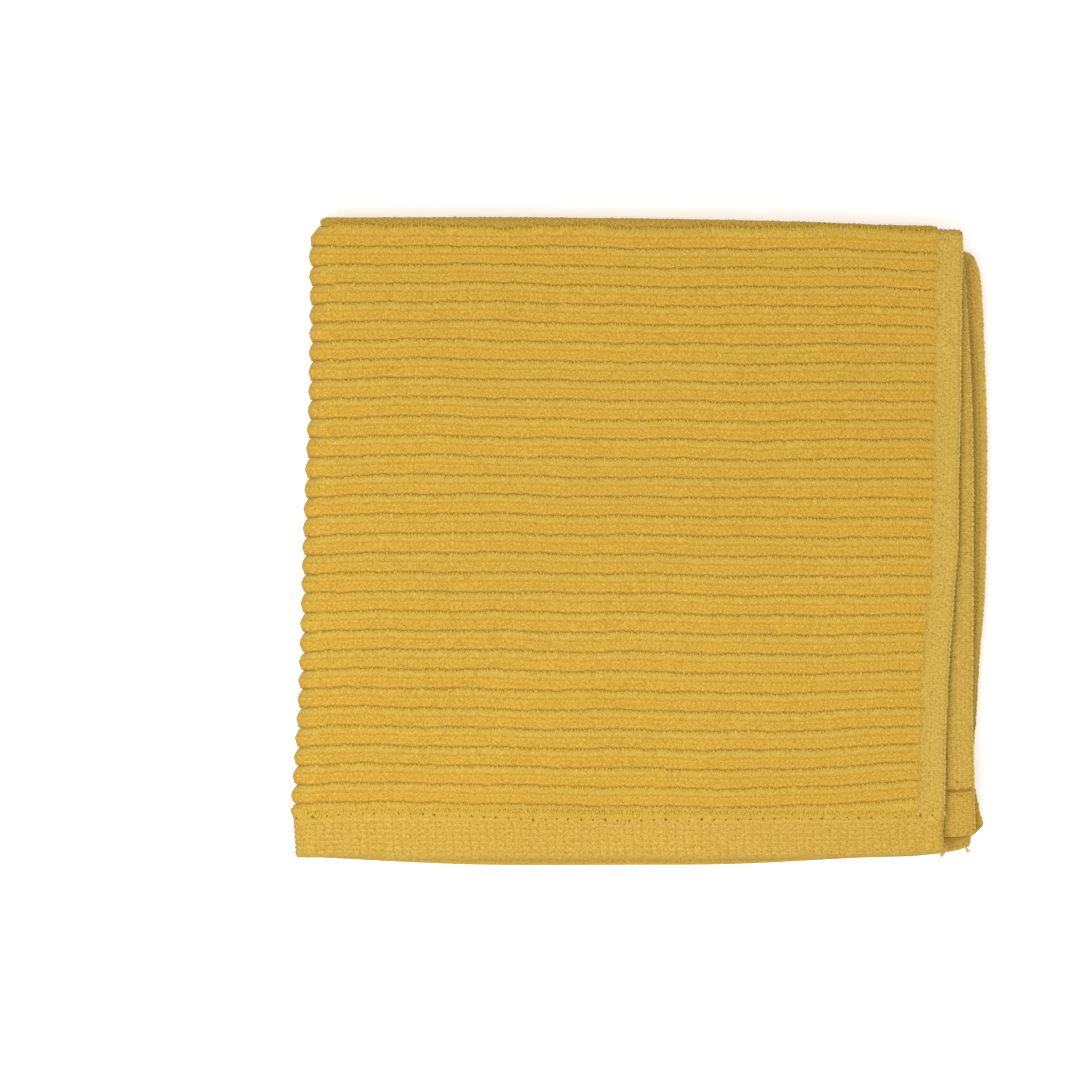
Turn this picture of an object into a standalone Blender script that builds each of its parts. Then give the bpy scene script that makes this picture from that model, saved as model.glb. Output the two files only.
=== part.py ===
"""A ribbed cotton dishcloth, folded twice into a quarter and lying flat.

The cloth is one solid. It is made as a flat slab whose face has raised ribs, hems at two ends and
flat woven bands along two sides. Its points are then moved through the two folds: the first fold
runs along the ribs and closes at the top, the second runs across them and closes at the left.

Flat cloth: u runs along the ribs, v across them, w is the height above the cloth's back.
Folded cloth: +X right, +Y towards the first fold, +Z up, the origin under the middle.
Layers from the top: face up, back up, face up, back up.
"""

import bisect
import math

import bmesh
import bpy

MM = 0.001

# The flat cloth
CLOTH_WIDTH = 332.0 * MM
CLOTH_LENGTH = 316.0 * MM
HALF_WIDTH = CLOTH_WIDTH / 2
HALF_LENGTH = CLOTH_LENGTH / 2
HEM_DEPTH = 11.0 * MM
HEM_STEP = 0.4 * MM
BAND_WIDTH = 7.2 * MM
BAND_STEP = 0.9 * MM

# Heights of the face and of the back
RIB_TOP = 2.6 * MM
GROOVE_HEIGHT = 1.6 * MM
HEM_HEIGHT = 2.2 * MM
BAND_HEIGHT = 1.85 * MM
BACK_RECESS = 0.3 * MM
EDGE_ROUNDING = 0.7 * MM
EDGE_THINNESS = 0.45

# Ribs: the first groove lies inside the hem, and each rib is steep on the side of its groove
RIB_PITCH = 4.77 * MM
FIRST_GROOVE = 13.0 * MM
RIB_COUNT = 60
RIB_PROFILE = (
    # share of the pitch from the groove towards the first hem, share of the relief, the same when pressed
    (0.00, 0.00, 0.00),
    (0.18, 1.00, 1.00),
    (0.82, 0.64, 1.00),
    (1.00, 0.00, 0.00),
)
INNER_RIB_SHARES = (0.0, 0.5)

# The folds
LAYER_GAP = 0.6 * MM
MIDDLE_GAP = 0.6 * MM
FIRST_FOLD_CENTRE = RIB_TOP + LAYER_GAP / 2
FIRST_FOLD_RADIUS = (LAYER_GAP + RIB_TOP) / 2
FIRST_FOLD_ARC = math.pi / 2 * FIRST_FOLD_RADIUS
PAIR_THICKNESS = 2 * RIB_TOP + LAYER_GAP
SECOND_FOLD_RADIUS = (MIDDLE_GAP + PAIR_THICKNESS) / 2
SECOND_FOLD_ARC = math.pi / 2 * SECOND_FOLD_RADIUS
MIDDLE_HEIGHT = MIDDLE_GAP / 2 + PAIR_THICKNESS

# Where the two folds lie before the outline below moves them
LEFT_X = -84.0 * MM
TOP_Y = 80.75 * MM
SECOND_FOLD_X = LEFT_X + MIDDLE_HEIGHT
FIRST_FOLD_Y = TOP_Y - RIB_TOP - LAYER_GAP / 2
RIGHT_X = SECOND_FOLD_X + HALF_WIDTH - SECOND_FOLD_ARC
BOTTOM_Y = FIRST_FOLD_Y - HALF_LENGTH + FIRST_FOLD_ARC

# The outline, in millimetres from the middle. Shares run from the hems to the first fold, or from
# the second fold to the side edges.
LEFT_FOLD = (
    # share up, x of the fold
    (0.000, -85.8),
    (0.042, -86.3),
    (0.078, -87.0),
    (0.120, -86.5),
    (0.262, -85.1),
    (0.528, -83.8),
    (0.716, -82.6),
    (0.857, -82.0),
    (1.000, -82.1),
)
SIDE_EDGES = (
    # share up, x of the top, second, third and bottom layer
    (0.00, 76.5, 84.0, 86.0, 82.2),
    (0.05, 76.0, 83.8, 84.6, 82.3),
    (0.10, 76.4, 83.7, 83.8, 82.4),
    (0.20, 76.6, 83.3, 84.4, 82.6),
    (0.30, 77.4, 83.4, 85.2, 82.9),
    (0.40, 78.5, 83.5, 86.4, 83.2),
    (0.50, 79.6, 83.5, 86.8, 83.5),
    (0.60, 79.8, 83.5, 87.0, 83.8),
    (0.70, 80.2, 83.2, 87.0, 84.0),
    (0.80, 80.4, 82.6, 86.5, 84.2),
    (0.90, 80.5, 81.7, 85.7, 84.3),
    (0.96, 80.7, 81.0, 84.8, 84.3),
    (0.98, 80.8, 80.8, 83.7, 83.7),
    (1.00, 80.8, 80.8, 83.4, 83.4),
)
TOP_FOLDS = (
    # share right, y of the upper and lower fold
    (0.00, 80.0, 80.0),
    (0.05, 80.7, 80.3),
    (0.35, 80.8, 80.0),
    (0.70, 80.5, 79.2),
    (0.88, 79.5, 77.0),
    (0.95, 79.2, 75.5),
    (1.00, 79.0, 72.5),
)
HEM_EDGES = (
    # share right, y of the top, second, third and bottom layer
    (0.00, -78.9, -77.8, -77.8, -78.9),
    (0.07, -78.0, -77.5, -77.4, -79.5),
    (0.16, -77.8, -77.2, -77.1, -80.3),
    (0.28, -77.8, -77.0, -76.9, -81.0),
    (0.50, -78.1, -76.4, -76.3, -81.0),
    (0.65, -78.3, -75.8, -75.8, -80.8),
    (0.84, -78.5, -74.8, -74.8, -79.2),
    (0.93, -78.3, -74.1, -74.2, -78.7),
    (1.00, -77.8, -73.6, -71.0, -76.5),
)
TOP_LAYER, SECOND_LAYER, THIRD_LAYER, BOTTOM_LAYER = 1, 2, 3, 4
UPPER_FOLD, LOWER_FOLD = 1, 2

# Loft: how much the stack swells or sinks, as a share of its height
LOFT = (
    # x, y, reach across and up in millimetres, share
    (-84.0, 0.0, 16.0, 400.0, 0.05),
    (0.0, 80.0, 400.0, 14.0, 0.04),
    (84.0, -10.0, 22.0, 70.0, -0.07),
    (10.0, -80.0, 90.0, 20.0, -0.05),
    (-25.0, 20.0, 40.0, 30.0, -0.03),
    (35.0, -25.0, 35.0, 45.0, 0.02),
)

# How finely the slab is cut before it is folded
FOLD_SEGMENTS = 8
PLAIN_SEGMENTS = 5
BACK_SEGMENTS = 10

YELLOW = (0.66, 0.42, 0.06, 1.0)


def ramp(value, start, end):
    """A smooth step from 0 at start to 1 at end."""
    share = min(1.0, max(0.0, (value - start) / (end - start)))
    return share * share * (3.0 - 2.0 * share)


def curve_value(table, column, share):
    """A smooth curve through one column of a table, read at a share of the way."""
    shares = [row[0] for row in table]
    last = len(table) - 1
    i = min(last - 1, max(0, bisect.bisect_right(shares, share) - 1))

    def slope(k):
        before, after = max(0, k - 1), min(last, k + 1)
        return (table[after][column] - table[before][column]) / (shares[after] - shares[before])

    step = shares[i + 1] - shares[i]
    t = (share - shares[i]) / step
    start, end = table[i][column], table[i + 1][column]
    return (
        start * (1 + 2 * t) * (1 - t) ** 2
        + end * t * t * (3 - 2 * t)
        + step * (slope(i) * t * (1 - t) ** 2 - slope(i + 1) * t * t * (1 - t))
    )


def rib_share(v, pressed):
    """Height of the rib at v as a share of its relief, from loose (0) to pressed flat (1)."""
    share = ((FIRST_GROOVE - v) / RIB_PITCH) % 1.0
    for start, end in zip(RIB_PROFILE, RIB_PROFILE[1:]):
        if share <= end[0]:
            t = (share - start[0]) / (end[0] - start[0])
            loose = start[1] + t * (end[1] - start[1])
            flat = start[2] + t * (end[2] - start[2])
            return loose + pressed * (flat - loose)
    return 0.0


def side_distance(u):
    return min(u, CLOTH_WIDTH - u)


def hem_distance(v):
    return min(v, CLOTH_LENGTH - v)


def pressed_share(u, v):
    """1 where the cloth's face lies on the surface below, 0 elsewhere."""
    outer_half = ramp(HALF_LENGTH - v, 0.0, FIRST_FOLD_ARC)
    return outer_half * ramp(u, HALF_WIDTH, HALF_WIDTH + SECOND_FOLD_ARC)


def flat_height(u, v):
    """Height of the face over ribs, hems and bands, with the grooves filled."""
    ribbed_u = ramp(side_distance(u), BAND_WIDTH - BAND_STEP, BAND_WIDTH)
    ribbed_v = ramp(hem_distance(v), HEM_DEPTH, HEM_DEPTH + HEM_STEP)
    woven = HEM_HEIGHT + ribbed_v * (RIB_TOP - HEM_HEIGHT)
    return BAND_HEIGHT + ribbed_u * (woven - BAND_HEIGHT)


def face_height(u, v):
    """Height of the cloth's face, with its ribs."""
    ribbed = ramp(side_distance(u), BAND_WIDTH - BAND_STEP, BAND_WIDTH)
    ribbed *= ramp(hem_distance(v), HEM_DEPTH, HEM_DEPTH + HEM_STEP)
    depth = (RIB_TOP - GROOVE_HEIGHT) * (1.0 - rib_share(v, pressed_share(u, v)))
    return flat_height(u, v) - ribbed * depth


def back_height(u, v):
    """Height of the cloth's back, which stands proud where hems and bands are turned under."""
    inside = ramp(side_distance(u), BAND_WIDTH - BAND_STEP, BAND_WIDTH)
    inside *= ramp(hem_distance(v), HEM_DEPTH, HEM_DEPTH + HEM_STEP)
    return BACK_RECESS * inside


def rounded_edge(u, v, w):
    """Draw the height towards the middle of the thickness near the cloth's edges."""
    middle = flat_height(u, v) / 2
    distance = min(side_distance(u), hem_distance(v))
    share = EDGE_THINNESS + (1.0 - EDGE_THINNESS) * ramp(distance, 0.0, EDGE_ROUNDING)
    return middle + (w - middle) * share


def outline_shift(e, d):
    """How far the outline moves a point that is e from the second fold and d from the first."""
    right = min(1.0, abs(e) / HALF_WIDTH)
    up = 1.0 - min(1.0, abs(d) / HALF_LENGTH)
    if e > 0:
        layer, fold = (TOP_LAYER if d > 0 else SECOND_LAYER), UPPER_FOLD
    else:
        layer, fold = (BOTTOM_LAYER if d > 0 else THIRD_LAYER), LOWER_FOLD
    left_shift = curve_value(LEFT_FOLD, 1, up) * MM - LEFT_X
    right_shift = curve_value(SIDE_EDGES, layer, up) * MM - RIGHT_X
    bottom_shift = curve_value(HEM_EDGES, layer, right) * MM - BOTTOM_Y
    top_shift = curve_value(TOP_FOLDS, fold, right) * MM - TOP_Y
    return (
        left_shift + right * (right_shift - left_shift),
        bottom_shift + up * (top_shift - bottom_shift),
    )


def loft(x, y):
    """Height factor of the stack at a place of the outline."""
    swell = 1.0
    for centre_x, centre_y, reach_x, reach_y, share in LOFT:
        across = (x / MM - centre_x) / reach_x
        along = (y / MM - centre_y) / reach_y
        swell += share * math.exp(-across * across - along * along)
    return swell


def folded(u, v, w):
    """Place in the folded cloth of the point u, v, w of the flat cloth."""
    w += pressed_share(u, v) * (RIB_TOP - flat_height(u, v))
    d = HALF_LENGTH - v
    radius = LAYER_GAP / 2 + w
    if abs(d) < FIRST_FOLD_ARC:
        angle = d / FIRST_FOLD_RADIUS
        y = FIRST_FOLD_Y + radius * math.cos(angle)
        q = FIRST_FOLD_CENTRE + radius * math.sin(angle)
    else:
        y = FIRST_FOLD_Y + FIRST_FOLD_ARC - abs(d)
        q = FIRST_FOLD_CENTRE + math.copysign(radius, d)

    e = HALF_WIDTH - u
    radius = MIDDLE_GAP / 2 + q
    if abs(e) < SECOND_FOLD_ARC:
        angle = e / SECOND_FOLD_RADIUS
        x = SECOND_FOLD_X - radius * math.cos(angle)
        z = MIDDLE_HEIGHT + radius * math.sin(angle)
    else:
        x = SECOND_FOLD_X - SECOND_FOLD_ARC + abs(e)
        z = MIDDLE_HEIGHT + math.copysign(radius, e)

    shift_x, shift_y = outline_shift(e, d)
    x += shift_x
    y += shift_y
    return x, y, z * loft(x, y)


def steps(start, end, segments):
    """Evenly spaced values from start up to but not including end."""
    return [start + (end - start) * i / segments for i in range(segments)]


def mirrored(values, length):
    """The values, their mirror images in a length's middle, and the middle itself."""
    return values + [length / 2] + [length - value for value in reversed(values)]


def column_places():
    """Places along the ribs where the slab is cut."""
    band_inside = BAND_WIDTH - BAND_STEP
    half = [0.0, EDGE_ROUNDING, band_inside / 2, band_inside, BAND_WIDTH]
    fold_start = HALF_WIDTH - SECOND_FOLD_ARC
    half += steps(BAND_WIDTH, fold_start, PLAIN_SEGMENTS)[1:]
    half += steps(fold_start, HALF_WIDTH, FOLD_SEGMENTS // 2)
    return mirrored(half, CLOTH_WIDTH)


def hem_rows():
    """Places across a hem, from its edge."""
    return [0.0, EDGE_ROUNDING, HEM_DEPTH / 2, HEM_DEPTH, HEM_DEPTH + HEM_STEP]


def fold_rows():
    """Places across the first fold."""
    start, end = HALF_LENGTH - FIRST_FOLD_ARC, HALF_LENGTH + FIRST_FOLD_ARC
    return steps(start, end, FOLD_SEGMENTS) + [end]


def face_rows():
    """Places across the ribs where the face is cut: finer on the half that ends up outside."""
    rows = hem_rows() + [CLOTH_LENGTH - value for value in hem_rows()] + fold_rows()
    clear = RIB_PITCH / 12
    last_place = CLOTH_LENGTH - hem_rows()[-1]
    for rib in range(RIB_COUNT + 1):
        groove = FIRST_GROOVE + rib * RIB_PITCH
        outer = groove < HALF_LENGTH
        shares = [row[0] for row in RIB_PROFILE[:-1]] if outer else INNER_RIB_SHARES
        for share in shares:
            place = groove - share * RIB_PITCH
            if min(abs(place - row) for row in rows) > clear and place < last_place:
                rows.append(place)
    return sorted(rows)


def back_rows():
    """Places across the cloth where the back is cut: closer together near the hems and the fold."""
    hem_end, fold_start = hem_rows()[-1], HALF_LENGTH - FIRST_FOLD_ARC
    half = hem_rows()
    for turn in steps(0.0, math.pi, BACK_SEGMENTS)[1:]:
        half.append(hem_end + (fold_start - hem_end) * (1.0 - math.cos(turn)) / 2)
    return half + fold_rows() + [CLOTH_LENGTH - value for value in reversed(half)]


def add_side(bm, columns, rows, height):
    """One side of the slab as a grid. Returns its points, row by row."""
    made = bmesh.ops.create_grid(bm, x_segments=len(columns) - 1, y_segments=len(rows) - 1, size=1.0)
    ordered = sorted(made["verts"], key=lambda vert: (round(vert.co.y, 5), vert.co.x))
    grid = [ordered[i : i + len(columns)] for i in range(0, len(ordered), len(columns))]
    for v, line in zip(rows, grid):
        for u, vert in zip(columns, line):
            vert.co = (u, v, rounded_edge(u, v, height(u, v)))
    return grid


def join_edges(bm, first, second, axis):
    """Close the wall between two lines of points that may differ in number."""
    i = j = 0
    while i < len(first) - 1 or j < len(second) - 1:
        step_first = j == len(second) - 1 or (
            i < len(first) - 1 and first[i + 1].co[axis] <= second[j + 1].co[axis]
        )
        if step_first:
            bm.faces.new((first[i], first[i + 1], second[j]))
            i += 1
        else:
            bm.faces.new((first[i], second[j + 1], second[j]))
            j += 1


def make_cloth():
    """The whole cloth as one closed mesh."""
    bm = bmesh.new()
    columns = column_places()
    face = add_side(bm, columns, face_rows(), face_height)
    back = add_side(bm, columns, back_rows(), back_height)
    for end in (0, -1):
        join_edges(bm, face[end], back[end], axis=0)
        join_edges(bm, [line[end] for line in face], [line[end] for line in back], axis=1)
    for vert in bm.verts:
        vert.co = folded(*vert.co)
    bmesh.ops.recalc_face_normals(bm, faces=bm.faces)
    if bm.calc_volume(signed=True) < 0:
        bmesh.ops.reverse_faces(bm, faces=bm.faces)
    mesh = bpy.data.meshes.new("cloth")
    bm.to_mesh(mesh)
    bm.free()
    mesh.shade_smooth()
    mesh.set_sharp_from_angle(angle=math.radians(50))
    return mesh


def make_material():
    """Soft yellow cotton."""
    material = bpy.data.materials.new("yellow_cotton")
    material.use_nodes = True
    shader = material.node_tree.nodes["Principled BSDF"]
    shader.inputs["Base Color"].default_value = YELLOW
    shader.inputs["Roughness"].default_value = 0.95
    shader.inputs["Metallic"].default_value = 0.0
    return material


def main():
    for obj in list(bpy.data.objects):
        bpy.data.objects.remove(obj, do_unlink=True)
    collection = bpy.data.collections.new("folded_dishcloth")
    bpy.context.scene.collection.children.link(collection)
    mesh = make_cloth()
    mesh.materials.append(make_material())
    collection.objects.link(bpy.data.objects.new("cloth", mesh))


main()
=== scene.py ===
"""Looks of a ribbed cotton dishcloth, folded twice into a quarter and lying flat.

Every piece is laid out on the flat cloth and then carried through its two folds:
u runs along the ribs, v across them, w is the height above the cloth's back.
Layers from the top: face up, back up, face up, back up.
"""

import math

import bpy
import numpy as np
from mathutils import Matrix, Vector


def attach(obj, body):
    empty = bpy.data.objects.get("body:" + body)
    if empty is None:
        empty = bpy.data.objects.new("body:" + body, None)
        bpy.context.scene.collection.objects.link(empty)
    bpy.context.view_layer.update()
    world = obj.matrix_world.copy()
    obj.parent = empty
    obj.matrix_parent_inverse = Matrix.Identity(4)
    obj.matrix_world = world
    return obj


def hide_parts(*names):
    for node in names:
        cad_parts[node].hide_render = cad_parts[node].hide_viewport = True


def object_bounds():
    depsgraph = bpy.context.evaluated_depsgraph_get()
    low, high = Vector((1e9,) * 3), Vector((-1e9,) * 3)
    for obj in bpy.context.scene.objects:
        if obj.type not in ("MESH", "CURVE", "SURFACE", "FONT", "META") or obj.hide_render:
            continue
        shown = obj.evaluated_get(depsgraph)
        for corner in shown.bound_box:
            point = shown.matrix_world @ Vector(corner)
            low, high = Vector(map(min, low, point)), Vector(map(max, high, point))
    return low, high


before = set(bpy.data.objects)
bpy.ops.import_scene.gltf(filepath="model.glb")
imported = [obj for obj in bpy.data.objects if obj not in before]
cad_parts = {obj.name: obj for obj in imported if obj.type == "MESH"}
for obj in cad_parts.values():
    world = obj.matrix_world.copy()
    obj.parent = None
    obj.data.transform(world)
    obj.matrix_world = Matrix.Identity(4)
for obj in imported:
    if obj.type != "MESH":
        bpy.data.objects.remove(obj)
CAD_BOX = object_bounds()

MM = 0.001

# A seed for each kind of random draw
GROOVE_SEED, PILE_SEED, WEFT_SEED, HEM_PILE_SEED, FACE_FLOAT_SEED = range(11, 16)
BACK_FLOAT_SEED, EDGE_THREAD_SEED, STITCH_SEED, HOLE_SEED, RIB_END_SEED = range(16, 21)

# The photograph: a view from straight above
PHOTO_WIDTH, PHOTO_HEIGHT = 1087, 1088
PIXEL = 0.25 * MM
VIEW_CENTRE = (-24.1 * MM, -0.5 * MM)
LENS = 400.0
SENSOR = 36.0

# The flat cloth
CLOTH_WIDTH = 332.0 * MM
CLOTH_LENGTH = 316.0 * MM
HALF_WIDTH = CLOTH_WIDTH / 2
HALF_LENGTH = CLOTH_LENGTH / 2
HEM_DEPTH = 11.0 * MM
FAR_HEM_DEPTH = 12.0 * MM
HEM_STEP = 0.4 * MM
HEM_SLOPE = 3.0 * MM
BAND_WIDTH = 7.6 * MM
BAND_STEP = 1.7 * MM
RIB_END_STRAY = 0.5 * MM

# Heights of the face and of the back
RIB_TOP = 2.6 * MM
GROOVE_HEIGHT = 2.09 * MM
HEM_HEIGHT = 2.2 * MM
BAND_HEIGHT = 1.85 * MM
BACK_RECESS = 0.3 * MM
EDGE_ROUNDING = 0.7 * MM
EDGE_THINNESS = 0.45
FOLD_EDGE_THINNESS = 0.85

# Ribs: the first groove lies inside the hem, and each rib is steep on the side of its groove
RIB_PITCH = 4.77 * MM
FIRST_GROOVE = 13.0 * MM
RIB_COUNT = 60
RIB_SECTION = (
    # share of the pitch from the groove towards the first hem, share of the relief, the same when
    # pressed, paleness, warm shade. The warm shade column is painted shade: warm in the groove, in the
    # trough at 0.41 and in the gaps between the weft beads, where lower paleness paints shade too
    (0.000, 0.00, 0.00, 0.70, 0.80),
    (0.030, 0.34, 0.60, 0.80, 0.50),
    (0.080, 0.72, 1.00, 0.75, 0.00),
    (0.180, 0.94, 1.00, 0.90, 0.00),
    (0.320, 0.90, 1.00, 0.75, 0.20),
    (0.410, 0.70, 0.96, 0.55, 0.75),
    (0.500, 0.84, 1.00, 0.48, 0.35),
    (0.640, 0.82, 0.98, 0.48, 0.32),
    (0.780, 0.86, 1.00, 0.48, 0.32),
    (0.890, 0.80, 1.00, 0.50, 0.25),
    (0.950, 0.46, 0.60, 0.70, 0.40),
    (1.000, 0.00, 0.00, 0.70, 0.80),
)
INNER_RIB_SHARES = (0.0, 0.1, 0.5, 0.9)
ROUND_RIB_POWER = 0.7
ROUND_RIB_DEPTH = 2.7

# How far the grooves stray from straight lines
STRAY_WAVES = (
    # wavelength, amplitude, drift of the phase from one groove to the next
    (160.0, 0.20, 0.30),
    (71.0, 0.17, 0.45),
    (33.0, 0.13, 1.20),
    (15.0, 0.09, 3.14),
    (7.3, 0.08, 3.14),
    (3.7, 0.06, 3.14),
)
STRAY_SWELLS = (
    # u, v, reach along and across the ribs, shift towards the first fold
    (21.0, 119.0, 26.0, 66.0, 1.83),
    (9.0, 41.0, 110.0, 46.0, -1.60),
    (76.0, 61.0, 24.0, 31.5, 1.01),
    (125.0, 165.0, 20.0, 14.0, -1.37),
    (100.0, 29.0, 20.0, 44.0, -0.40),
    (159.0, 135.0, 56.0, 50.0, 0.89),
    (4.0, 13.0, 23.0, 45.0, 1.90),
)

# The folds
LAYER_GAP = 0.6 * MM
MIDDLE_GAP = 0.6 * MM
FIRST_FOLD_CENTRE = RIB_TOP + LAYER_GAP / 2
FIRST_FOLD_RADIUS = (LAYER_GAP + RIB_TOP) / 2
FIRST_FOLD_ARC = math.pi / 2 * FIRST_FOLD_RADIUS
FIRST_FOLD_STRETCH = 1.26
PAIR_THICKNESS = 2 * RIB_TOP + LAYER_GAP
SECOND_FOLD_RADIUS = (MIDDLE_GAP + PAIR_THICKNESS) / 2
SECOND_FOLD_ARC = math.pi / 2 * SECOND_FOLD_RADIUS
FIRST_FOLD_START, FIRST_FOLD_END = HALF_LENGTH - FIRST_FOLD_ARC, HALF_LENGTH + FIRST_FOLD_ARC
SECOND_FOLD_START, SECOND_FOLD_END = HALF_WIDTH - SECOND_FOLD_ARC, HALF_WIDTH + SECOND_FOLD_ARC
MIDDLE_HEIGHT = MIDDLE_GAP / 2 + PAIR_THICKNESS

# Where the two folds lie before the outline below moves them
LEFT_X = -84.0 * MM
TOP_Y = 80.75 * MM
SECOND_FOLD_X = LEFT_X + MIDDLE_HEIGHT
FIRST_FOLD_Y = TOP_Y - RIB_TOP - LAYER_GAP / 2
RIGHT_X = SECOND_FOLD_X + HALF_WIDTH - SECOND_FOLD_ARC
BOTTOM_Y = FIRST_FOLD_Y - HALF_LENGTH + FIRST_FOLD_ARC

# The outline, in millimetres from the middle. Shares run from the hems to the first fold, or from
# the second fold to the side edges.
LEFT_FOLD = (
    # share up, x of the fold
    (0.000, -86.5),
    (0.042, -86.9),
    (0.078, -87.5),
    (0.120, -87.0),
    (0.262, -85.6),
    (0.528, -84.3),
    (0.716, -83.1),
    (0.857, -82.7),
    (0.940, -82.8),
    (0.962, -82.9),
    (0.975, -82.4),
    (0.985, -81.6),
    (0.992, -81.5),
    (1.000, -82.4),
)
SIDE_EDGES = (
    # share up, x of the top, second, third and bottom layer
    (0.000, 76.2, 83.6, 85.9, 82.5),
    (0.008, 76.2, 84.0, 86.0, 83.0),
    (0.02, 75.9, 84.0, 85.4, 83.0),
    (0.034, 75.8, 83.9, 84.9, 82.9),
    (0.05, 76.0, 83.8, 84.5, 82.7),
    (0.10, 76.4, 83.7, 83.4, 82.4),
    (0.20, 76.6, 83.3, 84.4, 82.6),
    (0.30, 77.4, 83.4, 85.2, 82.9),
    (0.40, 78.5, 83.5, 86.4, 83.2),
    (0.50, 79.6, 83.5, 86.8, 83.5),
    (0.60, 79.8, 83.5, 87.0, 83.8),
    (0.70, 80.2, 83.2, 87.0, 84.0),
    (0.80, 80.4, 82.6, 86.5, 84.2),
    (0.90, 80.5, 81.7, 86.0, 84.3),
    (0.96, 80.7, 81.0, 85.4, 84.3),
    (0.98, 80.8, 80.8, 84.7, 84.3),
    (1.00, 80.6, 80.6, 83.2, 83.6),
)
TOP_FOLDS = (
    # share right, y of the upper and lower fold
    (0.00, 80.7, 80.0),
    (0.05, 80.6, 80.3),
    (0.35, 80.6, 79.8),
    (0.70, 79.8, 78.5),
    (0.88, 78.7, 76.4),
    (0.95, 78.5, 75.0),
    (1.00, 78.3, 72.4),
)
HEM_EDGES = (
    # share right, y of the top, second, third and bottom layer
    (0.00, -78.9, -77.8, -77.8, -78.9),
    (0.07, -78.0, -77.5, -77.4, -79.5),
    (0.16, -77.8, -77.2, -77.1, -80.3),
    (0.28, -77.8, -77.0, -76.9, -81.0),
    (0.50, -78.1, -76.4, -76.3, -81.0),
    (0.65, -78.3, -75.8, -75.8, -80.8),
    (0.84, -78.5, -74.8, -74.8, -79.2),
    (0.93, -78.3, -74.1, -74.2, -78.7),
    (0.985, -77.9, -73.7, -73.6, -77.3),
    (1.00, -77.5, -73.3, -71.3, -76.3),
)
HEM_DROPS = (
    # share right, how far the top layer's hem is pulled down beyond that
    (0.00, 0.2),
    (0.07, 0.8),
    (0.16, 1.6),
    (0.28, 1.7),
    (0.50, 1.4),
    (0.65, 1.1),
    (0.84, 0.5),
    (0.93, 0.4),
    (1.00, 0.0),
)
TOP_LAYER, SECOND_LAYER, THIRD_LAYER, BOTTOM_LAYER = 1, 2, 3, 4
UPPER_FOLD, LOWER_FOLD = 1, 2

# Loft: how much the stack swells or sinks, as a share of its height
LOFT = (
    # x, y, reach across and up in millimetres, share
    (-84.0, 0.0, 16.0, 400.0, 0.05),
    (0.0, 80.0, 400.0, 14.0, 0.04),
    (84.0, -10.0, 22.0, 70.0, -0.07),
    (10.0, -80.0, 90.0, 20.0, -0.05),
    (-25.0, 20.0, 40.0, 30.0, -0.03),
    (35.0, -25.0, 35.0, 45.0, 0.02),
)

# Soft dents and swells of the top layer alone
DENTS = (
    # x, y, reach, turn of the long way in degrees, times longer that way, height
    (47.0, -40.0, 7.0, 70.0, 2.6, -0.45),
    (36.0, -14.0, 8.0, 20.0, 2.0, -0.35),
    (26.0, -52.0, 7.0, 100.0, 1.8, -0.25),
    (60.0, 20.0, 9.0, 80.0, 3.0, 0.25),
    (22.0, -20.0, 6.0, 95.0, 4.0, 0.22),
    (-52.0, 8.0, 8.0, 90.0, 3.5, 0.20),
    (-20.0, -45.0, 10.0, 10.0, 2.0, 0.18),
)

# How finely the sheet is cut before it is folded
FACE_STEP = 1.3 * MM
BAND_SEGMENTS = 5
BAND_STEP_SEGMENTS = 3
HEM_ROW_STEP = 0.3125 * MM
FOLD_SEGMENTS = 16
BACK_SEGMENTS = 24
INNER_SEGMENTS = 26

# The hem: fine woven lines, and a row of lockstitch in a shallow trough
HEM_LINE_PITCH = 1.25 * MM
HEM_LINE_RELIEF = 0.05 * MM
HEM_LINE_SHADE = 0.24
STITCH_PATH = (
    # share of the width from the side edge, depth of the stitches in the hem in millimetres
    (0.00, 9.9),
    (0.06, 9.7),
    (0.18, 8.9),
    (0.30, 8.8),
    (0.36, 9.3),
    (0.42, 10.1),
    (0.50, 9.6),
    (0.75, 9.3),
    (1.00, 9.9),
)
STITCH_PITCH = 3.1 * MM
STITCH_SIZE = (2.3 * MM, 0.42 * MM, 0.42 * MM)
STITCH_SINK = 0.10 * MM
STITCH_STRAY = 0.04 * MM
STITCH_PALENESS = 0.6
TROUGH_WIDTH = 0.50 * MM
TROUGH_DEPTH = 0.05 * MM
SEAM_WIDTH = 0.36 * MM
SEAM_DEPTH = 1.20 * MM
SEAM_MARGIN = 0.70 * MM
# The seam's groove on the back gets painted shade: a share of warm shade and a share of grey
SEAM_WARM_SHADE = 0.3
SEAM_SHADE = 0.6

# Needle holes, between the hem's stitches and along each side band: small dark dishes whose
# colour is painted shade inside each hole
HOLE_SIZE = (0.68 * MM, 0.58 * MM, 0.20 * MM)
HOLE_STRAY = 0.10 * MM
HEM_HOLE_SCALE = (0.7, 1.15)
BAND_HOLE_SCALE = (0.7, 1.1)
BAND_HOLE_SHARE = 0.70
BAND_HOLE_INSET = 4.3 * MM
BAND_HOLE_PITCH = 3.0 * MM
BAND_HOLE_STRAY = 0.15 * MM
BAND_HOLES_SHOWN = 0.80
HOLE_PALENESS = (0.0, 0.5)
BAND_HOLE_PALENESS = 0.6

# Where the rows along the ribs start, in shares of the side band's step
ROW_START = (-0.5, 1.0)

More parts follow.
